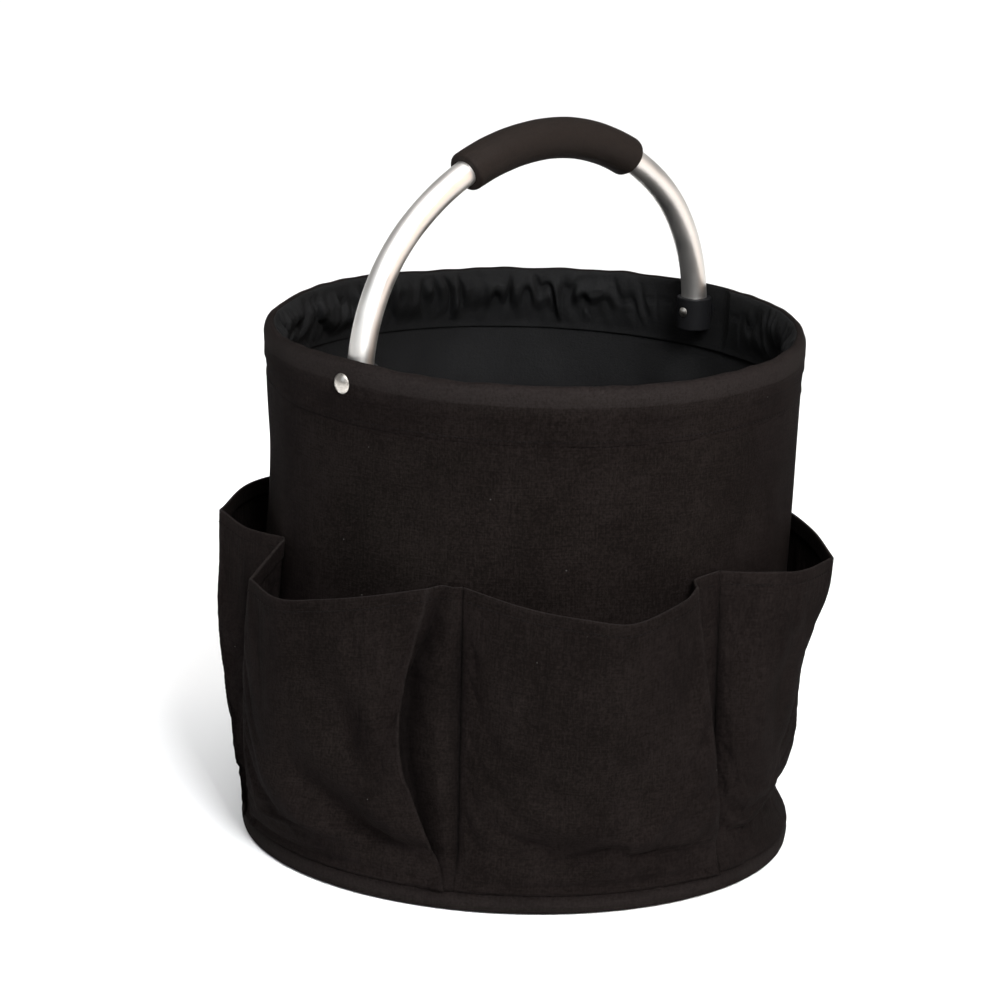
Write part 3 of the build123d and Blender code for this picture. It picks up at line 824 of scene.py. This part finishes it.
def settled(points, held):
    """How far the points of a sewn panel move when its cloth hangs by its stitches: a coarse copy with a little spare
    cloth is simulated, and its move is read back at every point. held is 1 where it can't move."""
    picks = [np.unique(np.append(np.arange(0, count, 2), count - 1)) for count in points.shape[:2]]
    coarse = points[np.ix_(*picks)]
    across, along = coarse.shape[:2]
    corner = (np.arange(across - 1)[:, None] * along + np.arange(along - 1)).ravel()
    faces = np.stack([corner, corner + along, corner + along + 1, corner + 1], axis=1)
    mesh = bpy.data.meshes.new("settling")
    mesh.from_pydata((coarse.reshape(-1, 3) * MM).tolist(), [], faces.tolist())
    piece = bpy.data.objects.new("settling", mesh)
    scene = bpy.context.scene
    scene.collection.objects.link(piece)
    group = piece.vertex_groups.new(name="held")
    for number, weight in enumerate(held[np.ix_(*picks)].ravel()):
        group.add([number], float(weight), "REPLACE")
    cloth = piece.modifiers.new("cloth", "CLOTH")
    for setting, value in CLOTH_VALUES.items():
        setattr(cloth.settings, setting, value)
    cloth.collision_settings.use_collision = False
    cloth.point_cache.frame_start, cloth.point_cache.frame_end = 1, SETTLE_FRAMES
    for frame_number in range(1, SETTLE_FRAMES + 1):
        scene.frame_set(frame_number)
    result = piece.evaluated_get(bpy.context.evaluated_depsgraph_get())
    places = np.zeros(coarse.size)
    result.data.vertices.foreach_get("co", places)
    move = places.reshape(coarse.shape) / MM - coarse
    bpy.data.objects.remove(piece)
    scene.frame_set(1)
    size = np.linalg.norm(move, axis=2, keepdims=True)
    move *= SETTLE_CAP * np.tanh(size / SETTLE_CAP) / np.maximum(size, 1e-6)
    return spread(spread(move, picks[0], points.shape[0], 0), picks[1], points.shape[1], 1)


def pocket_face(name, rows):
    """Settled face of a pocket, its folds made deeper again afterwards, with crease and shade by column."""
    angle, radius, base, height, crease, shade, creased = panel_points(name, rows)
    face = polar_points(np.maximum(radius, base), angle, height)
    column, row = np.arange(PANEL_COLUMNS), np.arange(PANEL_ROWS)
    free = smooth_step(1, 7, np.minimum(column, column[::-1])[:, None])
    free = free * smooth_step(2, 16, row) * smooth_step(PANEL_ROWS - 1, PANEL_ROWS - 14, row)
    gusset_foot = np.minimum(1.7 * shade, 1)[:, None] * smooth_step(0.75, 0.35, rows)
    free = free * (1 - 0.75 * crease[:, None]) * (1 - gusset_foot)
    face = face + settled(face, 1 - free) * free[:, :, None] ** 0.5
    radius = np.hypot(face[:, :, 0], face[:, :, 1]) + REFOLDED * creased
    radius = np.maximum(radius, base)
    turn = np.arctan2(face[:, :, 1], face[:, :, 0])
    return np.stack([radius * np.cos(turn), radius * np.sin(turn), face[:, :, 2]], axis=-1), crease, shade


def unit(vectors):
    return vectors / np.linalg.norm(vectors, axis=1)[:, None]


def hem_directions(face):
    """Directions at each hem point: into the bag, square to the hem, and down the panel."""
    turn = np.degrees(np.arctan2(face[:, -1, 1], face[:, -1, 0]))
    inward = -polar_points(np.ones(PANEL_COLUMNS), turn, np.zeros(PANEL_COLUMNS))
    tangent = unit(np.gradient(face[:, -1], axis=0))
    inward -= tangent * (inward * tangent).sum(axis=1)[:, None]
    return unit(inward), unit(face[:, -2] - face[:, -1])


def make_pocket(name):
    rows = np.linspace(0, 1, PANEL_ROWS)
    face, crease, shade = pocket_face(name, rows)
    inward, down = hem_directions(face)
    turned = []
    for turn in np.linspace(0, math.pi, 7)[1:]:
        turned.append(face[:, -1] + inward * HEM_ROUND * (1 - math.cos(turn)) - down * HEM_ROUND * math.sin(turn))
    for drop in np.linspace(0, HEM_DEPTH, 8)[1:]:
        turned.append(face[:, -1] + inward * 2 * HEM_ROUND + down * drop)
    points = np.concatenate([face, np.stack(turned, axis=1)], axis=1)
    rise = np.concatenate([rows, np.ones(len(turned))])[None, :]
    edge = np.exp(-((np.arange(points.shape[1]) - PANEL_ROWS - 2) / 2.2) ** 2)[None, :]
    wear_and_shade = 0.55 * edge + 0.32 * crease[:, None] * (0.35 + 0.65 * rise)
    # Painted shade: the cloth is darkened inside folds and along the seams, fading out at the foot and the hem.
    wear_and_shade = wear_and_shade - shade[:, None] * smooth_step(1.0, 0.8, rise) * smooth_step(0.0, 0.12, rise)
    panel = grid_object(name + "_cloth", points, CANVAS_CLOTH, wear_and_shade=np.clip(wear_and_shade, -1, 1))
    ready(thicken(panel, CANVAS), "canvas", name)
    route = []
    for column in face:
        place = np.interp(column[-1, 2] - HEM_STITCH_DROP, column[:, 2], np.arange(PANEL_ROWS))
        route.append([np.interp(place, np.arange(PANEL_ROWS), column[:, axis]) for axis in range(3)])
    sewn(name + "_stitches", (np.array(route) - inward * 0.06)[3:-3], -inward[3:-3])


# ------------------------------------------------------------
# Handle

GRIP_LEFT = -65.0
GRIP_RIGHT = 80.0
GRIP_END_ROUND = 1.7
GRIP_SIDES = 72
GRIP_LIP = -3.5


def make_grip():
    """Foam sleeve on the top arc of the tube, with soft ends and a bore that the tube fills."""
    top_radius = ARCH_TOP_RADIUS
    centre = PIVOT_HEIGHT + ARCH_RISE - top_radius
    first, last = math.asin(GRIP_LEFT / top_radius), math.asin(GRIP_RIGHT / top_radius)
    length = (last - first) * top_radius
    round_end = np.linspace(0, math.pi / 2, 7)[:-1]
    ends = [(GRIP_END_ROUND * (1 - math.cos(turn)), -GRIP_END_ROUND * (1 - math.sin(turn))) for turn in round_end]
    bore = TUBE_RADIUS + 0.1 - GRIP_RADIUS
    rings = [(0.0, bore), (0.0, GRIP_LIP)]
    rings += ends + [(place, 0.0) for place in np.linspace(GRIP_END_ROUND, length - GRIP_END_ROUND, 150)]
    rings += [(length - place, drop) for place, drop in reversed(ends)]
    rings += [(length, GRIP_LIP), (length, bore)]
    sides = np.arange(GRIP_SIDES) * 2 * math.pi / GRIP_SIDES
    turn, place = np.meshgrid(sides, [ring[0] for ring in rings], indexing="ij")
    drop = np.array([ring[1] for ring in rings])
    lean = first + place / top_radius
    around = np.degrees(turn)
    squeezed = wave_sum(61, around, place, 3, 90) * 0.16 + 0.05 * wave_sum(62, around, place, 9, 14)
    radius = GRIP_RADIUS - 0.15 + drop + squeezed * (drop > -1.0)
    out = np.cos(turn) * radius
    points = np.stack(
        [(top_radius + out) * np.sin(lean), np.sin(turn) * radius, centre + (top_radius + out) * np.cos(lean)], axis=-1
    )
    grip = grid_object("foam_sleeve", points[::-1], FOAM, closed=True)
    ready(grip, "grip_foam", "foam_grip", body="handle")


def finish_cad_nodes():
    """Gives each CAD node that stays its own material."""
    finishes = {
        "handle_tube": ALUMINIUM, "handle_socket": NYLON, "tube_plug": NYLON, "pivot_washer": NYLON,
        "pivot_rivet": NICKEL, "rim_hoop": HOOP, "hoop_splice": STEEL, "base_board": BOARD,
    }
    for name, thing in frame["nodes"].items():
        for start, material in finishes.items():
            if name.startswith(start):
                for slot in thing.material_slots:
                    slot.material = material


# ------------------------------------------------------------
# Floor, light and camera

CAMERA_DISTANCE = 2979.0
CAMERA_AZIMUTH = -47.3
CAMERA_ELEVATION = 15.85
CAMERA_ROLL = 2.14
CAMERA_LENS = 172.26
LOOK_HEIGHT = 170.0
LOOK_LEFT = 16.7
LOOK_UP = 38.3
FLOOR_RINGS = (14000.0, 6000.0, 2000.0, 600.0, 150.0, 1.0)
FLOOR_DROP = -0.4
WORLD_STRENGTH = 0.30
SUN_STRENGTH = 2.85
SUN_SPREAD = 75
SUN_ELEVATION = 66


def view_axes(azimuth, elevation):
    """Directions towards a viewer, to the viewer's right, and up in the viewer's picture."""
    a, e = math.radians(azimuth), math.radians(elevation)
    back = Vector((math.sin(a) * math.cos(e), -math.cos(a) * math.cos(e), math.sin(e)))
    right = Vector((math.cos(a), math.sin(a), 0.0))
    return back, right, back.cross(right)


def make_camera():
    back, right, up = view_axes(CAMERA_AZIMUTH, CAMERA_ELEVATION)
    target = Vector((0, 0, LOOK_HEIGHT))
    place = target + back * CAMERA_DISTANCE
    away = (place - (target - right * LOOK_LEFT + up * LOOK_UP)).normalized()
    side = up.cross(away).normalized()
    turn = Matrix((side, away.cross(side), away)).transposed().to_4x4()
    camera = bpy.data.objects.new("camera", bpy.data.cameras.new("camera"))
    camera.data.lens = CAMERA_LENS
    camera.data.sensor_width = 36.0
    camera.data.clip_end = 100.0
    camera.matrix_world = Matrix.Translation(place * MM) @ turn @ Matrix.Rotation(math.radians(CAMERA_ROLL), 4, "Z")
    scene = bpy.context.scene
    scene.collection.objects.link(camera)
    scene.camera = camera


def add_light(name, azimuth, elevation, distance, size, power, colour, beam=180):
    """Soft square lamp that faces the bag, all in metres. Azimuth is a viewer's: 0 stands at -Y."""
    back, _, _ = view_axes(azimuth, elevation)
    lamp = bpy.data.objects.new(name, bpy.data.lights.new(name, "AREA"))
    lamp.data.size = size
    lamp.data.energy = power
    lamp.data.color = colour
    lamp.data.spread = math.radians(beam)
    lamp.location = back * distance + Vector((0, 0, 0.2))
    lamp.rotation_euler = back.to_track_quat("Z", "Y").to_euler()
    bpy.context.scene.collection.objects.link(lamp)


def make_floor():
    angle, reach = np.meshgrid(round_the_bag(96), FLOOR_RINGS, indexing="ij")
    material, tree, shader = new_material("studio_floor")
    tone = noise(tree, object_place(tree), 0.5, 2)
    colour = mixed(tree, tone, (0.93, 0.93, 0.93), (0.95, 0.95, 0.95))
    finish_shader(tree, shader, {"Base Color": colour}, Roughness=0.9, Specular_IOR_Level=0.1)
    floor = grid_object("studio_floor", polar_points(reach, angle, FLOOR_DROP), material, closed=True)


def make_light():
    scene = bpy.context.scene
    world = scene.world = bpy.data.worlds.new("studio")
    world.use_nodes = True
    background = world.node_tree.nodes["Background"].inputs
    background[0].default_value = (1.0, 1.0, 1.0, 1.0)
    background[1].default_value = WORLD_STRENGTH
    overhead = bpy.data.objects.new("overhead", bpy.data.lights.new("overhead", "SUN"))
    overhead.data.energy = SUN_STRENGTH
    overhead.data.angle = math.radians(SUN_SPREAD)
    back, _, _ = view_axes(CAMERA_AZIMUTH + 10, SUN_ELEVATION)
    overhead.rotation_euler = back.to_track_quat("Z", "Y").to_euler()
    scene.collection.objects.link(overhead)
    add_light("soft_key", CAMERA_AZIMUTH + 19, 36, 2.6, 1.1, 7.0, (0.97, 0.98, 1.0), beam=34)
    add_light("soft_left", CAMERA_AZIMUTH - 50, 30, 2.4, 1.4, 4.0, (0.80, 0.90, 1.0))
    add_light("soft_right", CAMERA_AZIMUTH + 78, 16, 2.4, 1.4, 9.0, (1.0, 0.70, 0.50))
    scene.view_settings.view_transform = "Standard"


make_wall()
make_lining()
make_base()
make_binding()
make_casing()
for pocket_name in POCKETS:
    make_pocket(pocket_name)
make_grip()
finish_cad_nodes()
make_floor()
make_light()
make_camera()
